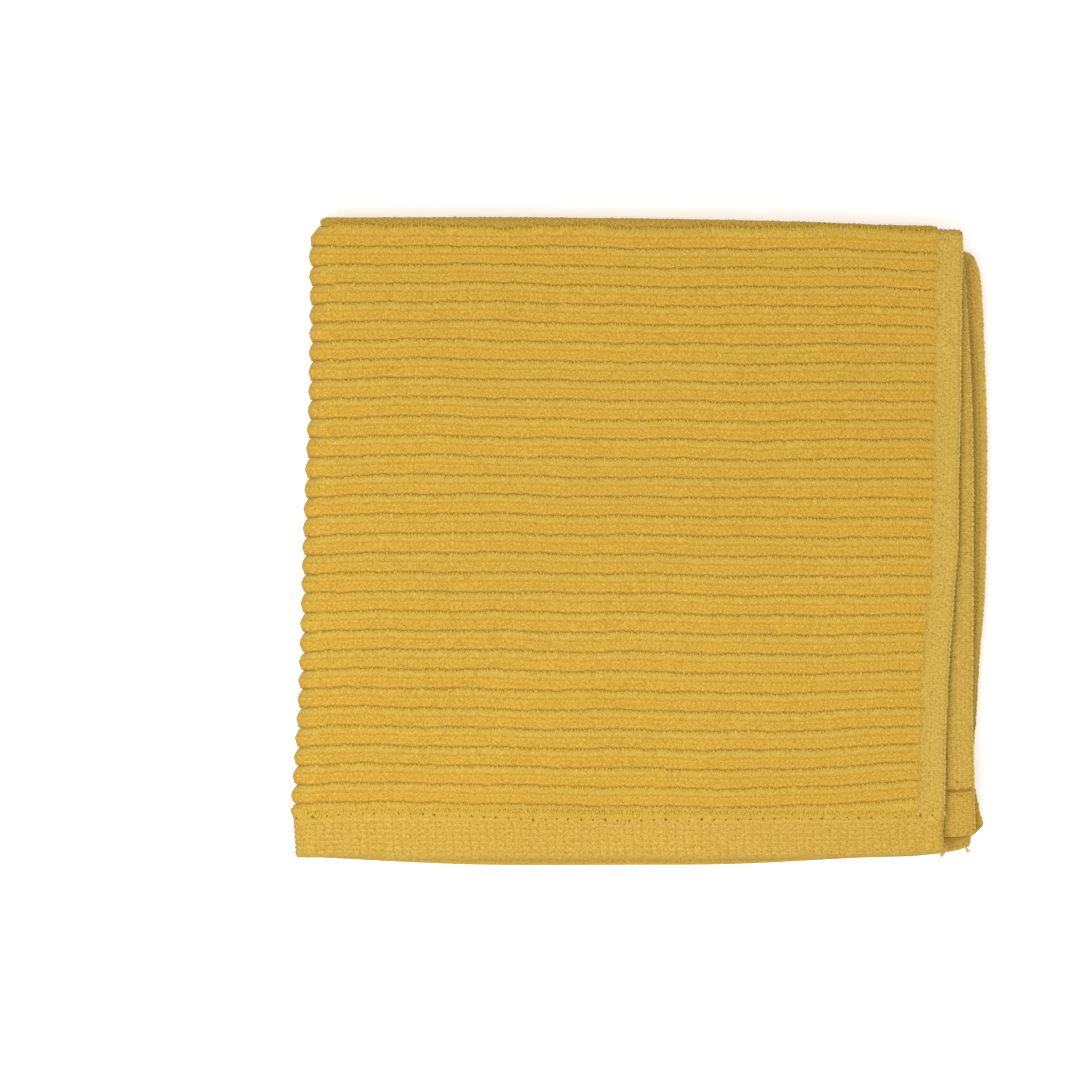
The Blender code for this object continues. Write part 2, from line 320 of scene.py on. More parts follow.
# Pile: short loops along each rib, just below its groove
PILE_ROWS = (
    # name, share of the pitch, depth of its middle in the face, length, thickness, arch, paleness
    ("pile_fringe", 0.095, 0.06, 1.25, 0.68, 0.10, 0.66),
    ("pile_crown", 0.255, 0.14, 1.15, 0.60, 0.06, 0.90),
)
HEM_PILE_ROWS = (
    # share of the way from the stitches to the first rib, height above the hem, paleness
    (0.42, -0.20, 0.85),
    (0.70, -0.08, 0.70),
    (0.96, 0.10, 0.85),
)
HEM_PILE_SIZE = (1.25 * MM, 0.70 * MM, 0.60 * MM)
HEM_PILE_STRAY = (0.08 * MM, 0.10 * MM, 0.03 * MM)
PILE_PITCH = 0.56 * MM
PILE_STRAYS = (0.08 * MM, 0.09 * MM, 0.035 * MM)
PILE_SCALES = ((0.8, 1.25), (0.85, 1.2), (0.9, 1.1))
PILE_TONE_SPREAD = 0.14
PILE_LEAN = 0.32
PILE_SIDES = 5
FOLD_FRINGE_SHIFT = 0.80 * MM

# The loops stray in tufts, a wave along the rib that turns by TUFT_TURN across the ribs
TUFT_PITCH = 1.55 * MM
TUFT_REACH = 0.18 * MM
TUFT_WANDER = 0.35 * MM
TUFT_TURN = 40.0 / MM

# Weft beads: two rows along each rib
BEAD_PITCH = 1.30 * MM
BEAD_ROWS = (
    # share of the pitch, depth of its middle in the face, length, width, height
    (0.535, 0.10, 1.06, 0.88, 0.46),
    (0.830, 0.09, 1.06, 0.94, 0.46),
)
BEAD_STRAYS = (0.07 * MM, 0.06 * MM, 0.03 * MM)
BEAD_SCALE = (0.9, 1.1)
BEAD_LEAN = 0.14
BEAD_PALENESS = 0.80
BEAD_TONE_SPREAD = 0.12
BEAD_SIDES = 6

# Every loop, bead, float and stitch is a capsule: a ring near each end, in shares of its size
RING_PLACE = 0.30
RING_SIZE = 0.46

# Plain weave of bands, hems and back: small floats in columns, each column set off by half a float
FLOAT_ALONG = 1.1 * MM
FLOAT_ACROSS = 1.25 * MM
FLOAT_SIZE = (0.84 * MM, 0.80 * MM, 0.56 * MM)
FLOAT_STRAY = 0.05 * MM
FACE_FLOAT_RISE = 0.18 * MM
BACK_FLOAT_RISE = 0.24 * MM
FLOAT_MARGIN = 0.8 * MM
HEM_SIDE_MARGIN = 0.6 * MM
HEM_EDGE_MARGIN = 1.25 * MM
HEM_FLOATS_END = 8.2 * MM
BACK_BAND_REACH = 2.0 * MM
HEM_PALENESS = 0.68
BAND_PALENESS = 0.85
# The sheet between the floats is this much less pale: painted shade in the gaps between them
FLOAT_CONTRAST = 0.12
MAX_PALENESS = 1.2

# Noses of the hem and of the two folds, painted greyer with SHADED: painted shade where they
# turn away from the light, with the grey of sheen at grazing angles
NOSES = (
    # nose, strength, distance at which it starts to fade, distance at which it ends
    ("hem", 0.60, 0.0, 1.7),
    ("first fold", 0.50, 1.2, 2.2),
    ("second fold", 0.50, 0.8, 2.4),
)

# The threads along the side edges
EDGE_THREAD_PITCH = 1.3 * MM
EDGE_THREAD_SIZE = (1.50 * MM, 0.52 * MM, 0.66 * MM)
EDGE_THREAD_RISES = (0.28, 0.72)
EDGE_THREAD_INSET = 0.12 * MM
EDGE_THREAD_STRAY = 0.04 * MM
EDGE_THREAD_TURN = math.pi / 2 + 0.12
EDGE_THREAD_PALENESS = 0.45

# Small pieces that vary in the same way
BEAD_KINDS = {
    # name: sides, size, least and greatest scale, turn and its spread, spread of the paleness
    "hem_pile": (PILE_SIDES, HEM_PILE_SIZE, 0.85, 1.15, math.pi / 2, PILE_LEAN, 0.12),
    "face_floats": (PILE_SIDES, FLOAT_SIZE, 0.88, 1.08, 0.0, 0.15, 0.13),
    "back_floats": (PILE_SIDES, FLOAT_SIZE, 0.88, 1.08, 0.0, 0.15, 0.13),
    "edge_threads": (BEAD_SIDES, EDGE_THREAD_SIZE, 0.85, 1.15, EDGE_THREAD_TURN, 0.10, 0.30),
    "hem_stitches": (BEAD_SIDES, STITCH_SIZE, 0.90, 1.10, 0.0, 0.05, 0.15),
}

# Loose threads at the corners: x, y, z in millimetres of the points each one passes
LOOSE_THREADS = (
    ((75.6, -74.0, 9.6), (76.0, -75.3, 9.4), (76.4, -76.5, 9.0), (76.0, -77.8, 8.4), (75.4, -78.9, 7.8)),
    ((76.6, -75.8, 9.2), (76.6, -76.8, 8.8), (76.2, -78.0, 8.2), (75.6, -78.8, 7.9)),
    ((76.3, -76.2, 9.0), (75.8, -77.3, 8.5), (75.3, -78.5, 8.0)),
    ((76.5, -67.3, 11.0), (76.1, -67.8, 11.3), (76.4, -68.3, 11.2), (76.9, -68.6, 10.7)),
    ((81.2, -76.0, 2.3), (81.9, -76.8, 1.9), (82.5, -77.4, 1.4), (83.2, -77.8, 0.9)),
    ((81.5, -76.0, 2.2), (82.0, -77.0, 1.6), (82.3, -77.9, 0.9)),
)
LOOSE_RADIUS = 0.16 * MM
LOOSE_SIDES = 6
LOOSE_STEPS = 8
LOOSE_PALENESS = 0.8
TWIST_RADIUS = 0.11 * MM
TWIST_PITCH = 1.5 * MM

# Loose threads thin to a share of their radius, along a part of a half sine wave
TAPER_PART = (0.15, 0.85)
TAPER_END = 0.35

# Colours as they are seen, 0 to 255
# Painted shade inside the needle holes, at its lightest
SHALLOW_HOLE_SHADE = (168, 128, 42)
BASE = (193, 146, 34)
PALE = (204, 171, 69)
# Painted warm shade, mixed into the grooves, the ribs' troughs, the gaps between the beads and the seam
WARM_SHADE = (192, 142, 34)
BAND = (198, 168, 82)
THREAD = (208, 182, 103)
# Painted shade on the noses of the hem and folds, with the grey of grazing sheen, and in the seam's
# groove
SHADED = (166, 135, 68)
# Painted shade inside the needle holes, at its darkest
DARK_HOLE_SHADE = (140, 104, 34)
GROUND = (250, 250, 250)

# Dry cotton
COTTONS = (
    # name, colours at paleness 0 and 1, grain of the hue and of the tone, whether it is the sheet
    ("woven_cotton", BASE, BAND, 1.1, 0.9, True),
    ("plain_cotton", BASE, BAND, 1.1, 0.9, False),
    ("pile_cotton", BASE, PALE, 2.1, 0.3, False),
    ("thread_cotton", BAND, THREAD, 2.0, 0.5, False),
    # Painted shade of the needle holes
    ("painted_hole_shade", DARK_HOLE_SHADE, SHALLOW_HOLE_SHADE, 2.0, 0.3, False),
)
FIBRE_WAVES = 2100.0
FIBRE_DETAIL = 3.0
BROAD_WAVES = 26.0
BROAD_DETAIL = 2.0
BROAD_SHADES = (0.96, 1.04)
WARP_PITCH = 0.75 * MM
WEFT_PITCH = 0.625 * MM
FIBRE_HEIGHT = 3.0
WEAVE_HEIGHT = 0.5
BUMP_STRENGTH = 0.5
BUMP_DISTANCE = 0.15 * MM
COTTON_GLOSS = {
    "Roughness": 0.95,
    "Specular IOR Level": 0.15,
    "Sheen Weight": 0.15,
    "Sheen Roughness": 0.6,
}

# Sockets of a colour mix
MIX_FACTOR, MIX_FIRST, MIX_SECOND, MIX_RESULT = 0, 6, 7, 2

# Surroundings
FLOOR_REACH = 3.0
FLOOR_ROUGHNESS = 0.9
FLOOR_GLOW = 0.3
LIGHTS = (
    # name, azimuth, elevation, distance, size, power
    ("key", -45.0, 65.0, 0.50, 0.375, 1.58),
    ("fill", 120.0, 55.0, 1.20, 0.90, 1.55),
)
WORLD_LIGHT = 0.72


def stacked(*values):
    """Arrays side by side, such as the coordinates of points."""
    return np.stack(values, axis=-1)


def ramp(value, start, end):
    """A smooth step from 0 at start to 1 at end."""
    share = np.clip((value - start) / (end - start), 0.0, 1.0)
    return share * share * (3.0 - 2.0 * share)


def curve_value(table, column, share):
    """A smooth curve through one column of a table, read at shares of the way."""
    rows = np.array(table)
    places = rows[:, 0]
    order = np.arange(len(rows))
    after = np.minimum(order + 1, len(rows) - 1)
    before = np.maximum(order - 1, 0)
    slopes = (rows[after] - rows[before]) / (places[after] - places[before])[:, None]
    i = np.clip(np.searchsorted(places, share, side="right") - 1, 0, len(rows) - 2)
    step = places[i + 1] - places[i]
    t = (share - places[i]) / step
    return (
        rows[i, column] * (1 + 2 * t) * (1 - t) ** 2
        + rows[i + 1, column] * t * t * (3 - 2 * t)
        + step * (slopes[i, column] * t * (1 - t) ** 2 - slopes[i + 1, column] * t * t * (1 - t))
    )


def side_distance(u):
    """Distance from the nearer side edge."""
    return np.minimum(u, CLOTH_WIDTH - u)


def hem_distance(v):
    """Distance from the nearer hem's edge. The far hem is deeper and is scaled to the near one."""
    real, scaled = (0.0, FAR_HEM_DEPTH, CLOTH_LENGTH), (0.0, HEM_DEPTH, CLOTH_LENGTH)
    return np.minimum(v, np.interp(CLOTH_LENGTH - v, real, scaled))


def far_place(distance):
    """The place across the ribs with this hem_distance on the cloth's far half."""
    reach = np.interp(distance, (0.0, HEM_DEPTH, CLOTH_LENGTH), (0.0, FAR_HEM_DEPTH, CLOTH_LENGTH))
    return CLOTH_LENGTH - reach


def rib_ends():
    """Places of the ribs across the cloth, and how far from the side edge each one ends."""
    rng = np.random.default_rng(RIB_END_SEED)
    places = FIRST_GROOVE + RIB_PITCH * np.arange(-1, RIB_COUNT + 2)
    return places, BAND_WIDTH + rng.uniform(-RIB_END_STRAY, RIB_END_STRAY, len(places))


RIB_END_PLACES, RIB_ENDS = rib_ends()


def pressed_share(u, v):
    """1 where the cloth's face lies on the surface below, 0 elsewhere."""
    outer_half = ramp(HALF_LENGTH - v, 0.0, FIRST_FOLD_ARC)
    return outer_half * ramp(u, HALF_WIDTH, SECOND_FOLD_END)


def rib_column(v, column):
    """One column of the rib's section at v, between the two rows it falls between."""
    section = np.array(RIB_SECTION)
    share = ((FIRST_GROOVE - v) / RIB_PITCH) % 1.0
    return np.interp(share, section[:, 0], section[:, column])


def fold_share(u):
    """1 on the nose of the second fold, 0 on the flat layers."""
    return 1.0 - ramp(abs(u - HALF_WIDTH), 0.5 * SECOND_FOLD_ARC, SECOND_FOLD_ARC)


def rib_share(u, v):
    """Height of the rib as a share of its relief: loose, pressed flat, or rounded by a fold."""
    share = ((FIRST_GROOVE - v) / RIB_PITCH) % 1.0
    loose = rib_column(v, 1)
    rounded = 1.0 - ROUND_RIB_DEPTH * (1.0 - np.sin(math.pi * share) ** ROUND_RIB_POWER)
    height = loose + fold_share(u) * (rounded - loose)
    return height + pressed_share(u, v) * (rib_column(v, 2) - height)


def ribbed_across(u, v):
    """1 between the side bands, 0 in them. Each rib ends a little sooner or later than the next."""
    end = np.interp(v, RIB_END_PLACES, RIB_ENDS)
    return ramp(side_distance(u), end - BAND_STEP, end)


def ribbed_share(u, v):
    """1 where the cloth has ribs, 0 in its hems and side bands."""
    return ribbed_across(u, v) * ramp(hem_distance(v), HEM_DEPTH, HEM_DEPTH + HEM_STEP)


def flat_height(u, v):
    """Height of the face over ribs, hems and bands, with the grooves filled."""
    slope = ramp(hem_distance(v), HEM_DEPTH - HEM_SLOPE, HEM_DEPTH + HEM_SLOPE)
    plain = HEM_HEIGHT + slope * (BAND_HEIGHT - HEM_HEIGHT)
    return plain + ribbed_share(u, v) * (RIB_TOP - plain)


def stitch_depth(u):
    """How deep in the hem its stitches lie."""
    return curve_value(STITCH_PATH, 1, u / CLOTH_WIDTH) * MM


def hem_ripple(u, v):
    """Fine ripples of the hem's weave, from -1 to 1, and 0 outside the hem."""
    depth = hem_distance(v)
    inside = ramp(depth, EDGE_ROUNDING, HEM_LINE_PITCH) * (1 - ramp(depth, stitch_depth(u), HEM_DEPTH))
    return inside * np.cos(2 * math.pi * depth / HEM_LINE_PITCH)


def hem_lines(u, v):
    """Height of the hem's ripples, and of the trough its stitches lie in."""
    trough = TROUGH_DEPTH * np.exp(-(((hem_distance(v) - stitch_depth(u)) / TROUGH_WIDTH) ** 2))
    return HEM_LINE_RELIEF * hem_ripple(u, v) - trough


def face_height(u, v):
    """Height of the cloth's face, with its ribs and the lines of its hems."""
    pressed = pressed_share(u, v)
    depth = (RIB_TOP - GROOVE_HEIGHT) * (1.0 - rib_share(u, v))
    return flat_height(u, v) - ribbed_share(u, v) * depth + (1 - pressed) * hem_lines(u, v)


def seam_share(v):
    """1 where the turned-under hem ends on the back, 0 away from it."""
    return np.exp(-(((hem_distance(v) - HEM_DEPTH) / SEAM_WIDTH) ** 2))


def back_height(u, v):
    """Height of the cloth's back, which stands proud where hems and bands are turned under."""
    inside = ramp(hem_distance(v), HEM_DEPTH, HEM_DEPTH + HEM_STEP)
    ribbed = ribbed_across(u, v)
    return BACK_RECESS * inside * (1 + ribbed) / 2 + SEAM_DEPTH * seam_share(v) * (1 - ribbed)


def rounded_edge(u, v, w):
    """Draw the height towards the middle of the thickness near the cloth's edges."""
    middle = flat_height(u, v) / 2
    distance = np.minimum(side_distance(u), hem_distance(v))
    thinness = EDGE_THINNESS + fold_share(u) * (FOLD_EDGE_THINNESS - EDGE_THINNESS)
    share = thinness + (1.0 - thinness) * ramp(distance, 0.0, EDGE_ROUNDING)
    return middle + (w - middle) * share


def shaded_share(u, v):
    """How much painted shade greys the cloth at a place, from 0 to 1: on the noses of hem and folds."""
    distances = {
        "hem": hem_distance(v),
        "first fold": abs(v - HALF_LENGTH),
        "second fold": abs(u - HALF_WIDTH),
    }
    total = np.zeros_like(u)
    for nose, strength, start, end in NOSES:
        total = np.maximum(total, strength * (1.0 - ramp(distances[nose], start * MM, end * MM)))
    return total


def swell(a, b):
    """A soft swell of height 1, at two distances from its middle."""
    return np.exp(-a * a - b * b)


def groove_phases():
    """Phases of the stray waves of each groove, and of the one before and after them all."""
    rng = np.random.default_rng(GROOVE_SEED)
    drift = np.array([wave[2] for wave in STRAY_WAVES])
    turns = rng.normal(0.0, 1.0, (RIB_COUNT + 3, len(STRAY_WAVES))) * drift
    start = rng.uniform(0.0, 2 * math.pi, len(STRAY_WAVES))
    return start + np.cumsum(turns, axis=0)


GROOVE_PHASES = groove_phases()


def stray(u, v):
    """How far the weave at a place strays across the ribs."""
    position = np.clip((v - FIRST_GROOVE) / RIB_PITCH + 1, 0, RIB_COUNT + 2)
    groove = np.minimum(np.floor(position).astype(int), RIB_COUNT + 1)
    share = position - groove
    total = np.zeros_like(v)
    for i, (wavelength, amplitude, _) in enumerate(STRAY_WAVES):
        turn = 2 * math.pi * u / (wavelength * MM)
        here = np.sin(turn + GROOVE_PHASES[groove, i])
        following = np.sin(turn + GROOVE_PHASES[groove + 1, i])
        total += amplitude * MM * (here + share * (following - here))
    for centre_u, centre_v, reach_u, reach_v, shift in STRAY_SWELLS:
        total += shift * MM * swell((u / MM - centre_u) / reach_u, (v / MM - centre_v) / reach_v)
    calm_edges = ramp(hem_distance(v), HEM_DEPTH, FIRST_GROOVE)
    return total * calm_edges * ramp(side_distance(u), 0.0, BAND_WIDTH)


def outline_shift(e, d):
    """How far the outline moves a point that is e from the second fold and d from the first."""
    right = np.minimum(1.0, abs(e) / HALF_WIDTH)
    up = 1.0 - np.minimum(1.0, abs(d) / HALF_LENGTH)
    upper_layer = np.where(d > 0, TOP_LAYER, SECOND_LAYER)
    lower_layer = np.where(d > 0, BOTTOM_LAYER, THIRD_LAYER)
    layer = np.where(e > 0, upper_layer, lower_layer)
    fold = np.where(e > 0, UPPER_FOLD, LOWER_FOLD)
    left_shift = curve_value(LEFT_FOLD, 1, up) * MM - LEFT_X
    right_shift = curve_value(SIDE_EDGES, layer, up) * MM - RIGHT_X
    bottom_shift = curve_value(HEM_EDGES, layer, right) * MM - BOTTOM_Y
    top_shift = curve_value(TOP_FOLDS, fold, right) * MM - TOP_Y
    return (
        left_shift + right * (right_shift - left_shift),
        bottom_shift + up * (top_shift - bottom_shift),
    )


def hem_drop(e, v):
    """How far the top layer's hem is stretched downwards at a place."""
    drop = curve_value(HEM_DROPS, 1, np.minimum(1.0, abs(e) / HALF_WIDTH)) * MM
    return drop * np.clip(1.0 - v / HEM_DEPTH, 0.0, 1.0) * ramp(e, -SECOND_FOLD_ARC, SECOND_FOLD_ARC)


def loft(x, y):
    """Height factor of the stack at a place of the outline."""
    factor = np.ones_like(x)
    for centre_x, centre_y, reach_x, reach_y, share in LOFT:
        factor += share * swell((x / MM - centre_x) / reach_x, (y / MM - centre_y) / reach_y)
    return factor


def dents(x, y):
    """Height that the soft dents add to the top layer."""
    total = np.zeros_like(x)
    for centre_x, centre_y, reach, turn, longer, height in DENTS:
        angle = math.radians(turn)
        dx, dy = x / MM - centre_x, y / MM - centre_y
        along = (dx * math.cos(angle) + dy * math.sin(angle)) / (reach * longer)
        across = (dy * math.cos(angle) - dx * math.sin(angle)) / reach
        total += height * MM * swell(along, across)
    return total


def folded(u, v, w):
    """Places in the folded cloth of the points u, v, w of the flat cloth."""
    w = w + pressed_share(u, v) * (RIB_TOP - flat_height(u, v))
    v = v + stray(u, v)
    d = HALF_LENGTH - v
    radius = LAYER_GAP / 2 + w
    angle = np.clip(d / FIRST_FOLD_RADIUS, -math.pi / 2, math.pi / 2)
    nose = FIRST_FOLD_STRETCH * radius * np.cos(angle)
    y = FIRST_FOLD_Y + nose - np.maximum(0.0, abs(d) - FIRST_FOLD_ARC)
    q = FIRST_FOLD_CENTRE + radius * np.sin(angle)

    e = HALF_WIDTH - u
    radius = MIDDLE_GAP / 2 + q
    angle = np.clip(e / SECOND_FOLD_RADIUS, -math.pi / 2, math.pi / 2)
    x = SECOND_FOLD_X - radius * np.cos(angle) + np.maximum(0.0, abs(e) - SECOND_FOLD_ARC)
    z = MIDDLE_HEIGHT + radius * np.sin(angle)

    shift_x, shift_y = outline_shift(e, d)
    x = x + shift_x
    y = y + shift_y - hem_drop(e, v)
    top = ramp(e, SECOND_FOLD_ARC, 3 * SECOND_FOLD_ARC) * ramp(d, FIRST_FOLD_ARC, 3 * FIRST_FOLD_ARC)
    z = np.maximum(0.0, z * loft(x, y) + top * dents(x, y))
    return stacked(x, y, z)


# Meshes

def add_piece(name, points, faces, material, tones):
    """A piece of the cloth. faces is a list of arrays, one for each number of corners."""
    mesh = bpy.data.meshes.new(name)
    mesh.vertices.add(len(points))
    mesh.vertices.foreach_set("co", points.astype(np.float32).ravel())
    corners = np.concatenate([part.ravel() for part in faces])
    sizes = np.concatenate([np.full(len(part), part.shape[1]) for part in faces])
    mesh.loops.add(len(corners))
    mesh.loops.foreach_set("vertex_index", corners.astype(np.int32))
    mesh.polygons.add(len(sizes))
    mesh.polygons.foreach_set("loop_start", (np.cumsum(sizes) - sizes).astype(np.int32))
    mesh.update(calc_edges=True)
    mesh.shade_smooth()
    for label, values in tones.items():
        attribute = mesh.attributes.new(label, "FLOAT", "POINT")
        attribute.data.foreach_set("value", values.astype(np.float32))
    mesh.materials.append(material)
    piece = bpy.data.objects.new(name, mesh)
    bpy.context.scene.collection.objects.link(piece)
    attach(piece, "root")
    return piece


def grid_faces(rows, columns, first=0):
    """Quads of a grid whose points are numbered row by row."""
    corner = first + np.arange(rows - 1)[:, None] * columns + np.arange(columns - 1)[None, :]
    quads = stacked(corner, corner + 1, corner + columns + 1, corner + columns)
    return quads.reshape(-1, 4)


def joined_edges(first, first_places, second, second_places):
    """Triangles that close the wall between two lines of points that may differ in number."""
    triangles = []
    i = j = 0
    while i < len(first) - 1 or j < len(second) - 1:
        step_first = j == len(second) - 1 or (
            i < len(first) - 1 and first_places[i + 1] <= second_places[j + 1]
        )
        if step_first:
            triangles.append((first[i], first[i + 1], second[j]))
            i += 1
        else:
            triangles.append((first[i], second[j + 1], second[j]))
            j += 1
    return np.array(triangles)


def capsule(sides):
    """Points, quads and triangles of a closed bead of size 1, with its ends on the first axis."""
    turns = 2 * math.pi * np.arange(sides) / sides
    ring = stacked(np.cos(turns), np.sin(turns)) * RING_SIZE
    points = np.array(
        [(-0.5, 0.0, 0.0)]
        + [(-RING_PLACE, y, z) for y, z in ring]
        + [(RING_PLACE, y, z) for y, z in ring]
        + [(0.5, 0.0, 0.0)]
    )
    near = 1 + np.arange(sides)
    following = 1 + (np.arange(sides) + 1) % sides
    last = np.full(sides, 2 * sides + 1)
    quads = stacked(near, near + sides, following + sides, following)
    start = stacked(np.zeros(sides, int), near, following)
    end = stacked(last, following + sides, near + sides)
    return points, quads, np.concatenate([start, end])


def laid_beads(name, sides, centres, sizes, turns, paleness, material, arch=0.0):
    """One piece of many closed beads, laid on the flat cloth at their centres and folded with it."""
    unit, quads, triangles = capsule(sides)
    count, per_bead = len(centres), len(unit)
    along = unit[None, :, 0] * sizes[:, None, 0]
    across = unit[None, :, 1] * sizes[:, None, 1]
    height = unit[None, :, 2] * sizes[:, None, 2] - arch * (2 * unit[None, :, 0]) ** 2
    cos, sin = np.cos(turns)[:, None], np.sin(turns)[:, None]
    u = centres[:, None, 0] + along * cos - across * sin
    v = centres[:, None, 1] + along * sin + across * cos
    w = centres[:, None, 2] + height
    points = folded(u, v, w).reshape(-1, 3)
    offset = (np.arange(count) * per_bead)[:, None, None]
    faces = [(part[None] + offset).reshape(-1, part.shape[1])[:, ::-1] for part in (quads, triangles)]
    tones = {
        "paleness": np.repeat(paleness, per_bead),
        "shaded": np.repeat(shaded_share(centres[:, 0], centres[:, 1]), per_bead),
    }
    return add_piece(name, points, faces, material, tones)


# Where the sheet is cut

def evenly(start, end, segments):
    """Places from start up to but not including end."""
    return list(start + (end - start) * np.arange(segments) / segments)


def face_columns():
    """Places along the ribs where the face is cut: finer on the half that ends up on top."""
    band_inside = BAND_WIDTH - BAND_STEP
    ribbed_segments = round((SECOND_FOLD_START - BAND_WIDTH) / FACE_STEP)
    places = [0.0, EDGE_ROUNDING / 3, EDGE_ROUNDING]
    places += evenly(EDGE_ROUNDING, band_inside, BAND_SEGMENTS)[1:]
    places += evenly(band_inside, BAND_WIDTH, BAND_STEP_SEGMENTS)
    places += evenly(BAND_WIDTH, SECOND_FOLD_START, ribbed_segments)
    places += evenly(SECOND_FOLD_START, SECOND_FOLD_END, FOLD_SEGMENTS)
    places += evenly(SECOND_FOLD_END, CLOTH_WIDTH - BAND_WIDTH, INNER_SEGMENTS)
    places += evenly(CLOTH_WIDTH - BAND_WIDTH, CLOTH_WIDTH - EDGE_ROUNDING, BAND_SEGMENTS)
    places += [CLOTH_WIDTH - EDGE_ROUNDING, CLOTH_WIDTH - EDGE_ROUNDING / 3, CLOTH_WIDTH]
    return np.array(places)


def hem_rows(step):
    """Places across a hem, from its edge to the first rib."""
    places = [0.0, EDGE_ROUNDING / 3, EDGE_ROUNDING]
    places += list(np.arange(EDGE_ROUNDING + step, HEM_DEPTH - step / 2, step))
    places += [HEM_DEPTH, HEM_DEPTH + HEM_STEP / 2, HEM_DEPTH + HEM_STEP]
    return places


def face_rows():
    """Places across the ribs where the face is cut: finer on the half that ends up outside."""
    rows = hem_rows(HEM_ROW_STEP)
    far_hem = [far_place(value) for value in hem_rows(HEM_LINE_PITCH)]
    fine_end = HALF_LENGTH + 2 * FIRST_FOLD_ARC
    for rib in range(RIB_COUNT + 2):
        groove = FIRST_GROOVE + rib * RIB_PITCH
        shares = [row[0] for row in RIB_SECTION[:-1]] if groove < fine_end else INNER_RIB_SHARES
        for share in shares:
            place = groove - share * RIB_PITCH
            if hem_distance(place) > HEM_DEPTH + HEM_STEP:
                rows.append(place)
    return np.array(sorted(set(rows + far_hem)))


def back_columns():
    """Places along the ribs where the back is cut."""
    band_inside = BAND_WIDTH - BAND_STEP
    half = [0.0, EDGE_ROUNDING / 2, EDGE_ROUNDING, band_inside / 2, band_inside, BAND_WIDTH]
    half += evenly(BAND_WIDTH, SECOND_FOLD_START, BACK_SEGMENTS)[1:]
    middle = evenly(SECOND_FOLD_START, SECOND_FOLD_END, FOLD_SEGMENTS) + [SECOND_FOLD_END]
    return np.array(half + middle + [CLOTH_WIDTH - value for value in reversed(half)])


def back_rows():
    """Places across the ribs where the back is cut."""
    half = hem_rows(HEM_DEPTH / 4)[:-3]
    half += list(HEM_DEPTH + SEAM_WIDTH * np.arange(-3, 4) / 2)
    half += evenly(HEM_DEPTH + 2 * SEAM_WIDTH, FIRST_FOLD_START, BACK_SEGMENTS)
    middle = evenly(FIRST_FOLD_START, FIRST_FOLD_END, FOLD_SEGMENTS) + [FIRST_FOLD_END]
    return np.array(half + middle + [far_place(value) for value in reversed(half)])


# Pieces

def make_sheet(material):
    """The cloth itself: face, back and edges as one closed mesh."""
    columns, rows = face_columns(), face_rows()
    u, v = np.meshgrid(columns, rows)
    face = folded(u, v, rounded_edge(u, v, face_height(u, v))).reshape(-1, 3)
    ribbed = ribbed_share(u, v)
    # FLOAT_CONTRAST paints shade in the gaps between the floats
    plain = plain_paleness(v) - FLOAT_CONTRAST + HEM_LINE_SHADE * hem_ripple(u, v)
    paleness = plain + ribbed * (rib_column(v, 3) - plain)
    # Painted warm shade in the grooves, the troughs and the gaps between the weft beads
    warm_shade = ribbed * rib_column(v, 4)

    columns_b, rows_b = back_columns(), back_rows()
    u_b, v_b = np.meshgrid(columns_b, rows_b)
    back = folded(u_b, v_b, rounded_edge(u_b, v_b, back_height(u_b, v_b))).reshape(-1, 3)
    seam = (seam_share(v_b) * (1.0 - ribbed_across(u_b, v_b))).ravel()

    number = np.arange(u.size).reshape(u.shape)
    number_b = u.size + np.arange(u_b.size).reshape(u_b.shape)
    walls = [
        joined_edges(number_b[0], columns_b, number[0], columns),
        joined_edges(number[-1], columns, number_b[-1], columns_b),
        joined_edges(number[:, 0], rows, number_b[:, 0], rows_b),
        joined_edges(number_b[:, -1], rows_b, number[:, -1], rows),
    ]
    quads = np.concatenate([
        grid_faces(len(rows), len(columns))[:, ::-1],
        grid_faces(len(rows_b), len(columns_b), u.size),
    ])
    tones = {
        "paleness": np.concatenate([paleness.ravel(), plain_paleness(v_b).ravel() - FLOAT_CONTRAST]),
        # Painted shade in the seam's groove on the back, warm and grey
        "warm_shade": np.concatenate([warm_shade.ravel(), SEAM_WARM_SHADE * seam]),
        "shaded": np.concatenate([shaded_share(u, v).ravel(), SEAM_SHADE * seam]),
        "along": np.concatenate([u.ravel(), u_b.ravel()]),
        "across": np.concatenate([v.ravel(), v_b.ravel()]),
    }
    points = np.concatenate([face, back])
    return add_piece("cloth_sheet", points, [quads, np.concatenate(walls)], material, tones)


def varied_tones(rng, paleness, spread, count):
    """Paleness of many small pieces, around the given one."""
    return np.clip(paleness + rng.normal(0.0, spread, count), 0.0, MAX_PALENESS)


def varied_beads(name, rng, centres, paleness, material):
    """One piece of many beads, each a little off the size, turn and paleness of its kind."""
    sides, size, least, greatest, turn, turn_spread, tone_spread = BEAD_KINDS[name]
    count = len(centres)
    sizes = np.array(size) * rng.uniform(least, greatest, (count, 3))
    turns = turn + rng.normal(0.0, turn_spread, count)
    tone = varied_tones(rng, paleness, tone_spread, count)
    return laid_beads(name, sides, centres, sizes, turns, tone, material)


def rib_places(spacing, share, rng, stray_along):
    """Places of a row of loops or beads on every rib."""
    places = []
    for rib in range(RIB_COUNT + 1):
        v = FIRST_GROOVE + (rib - share) * RIB_PITCH
        if v < HEM_DEPTH or v > FIRST_FOLD_END:
            continue
        near_fold = v > HALF_LENGTH - 2 * FIRST_FOLD_ARC
        end = CLOTH_WIDTH - BAND_WIDTH if near_fold else SECOND_FOLD_END
        start = BAND_WIDTH - rng.uniform(*ROW_START) * BAND_STEP
        u = np.arange(start, end, spacing)
        u = u + rng.normal(0.0, stray_along, len(u))
        places.append(stacked(u, np.full(len(u), v)))
    return np.concatenate(places)


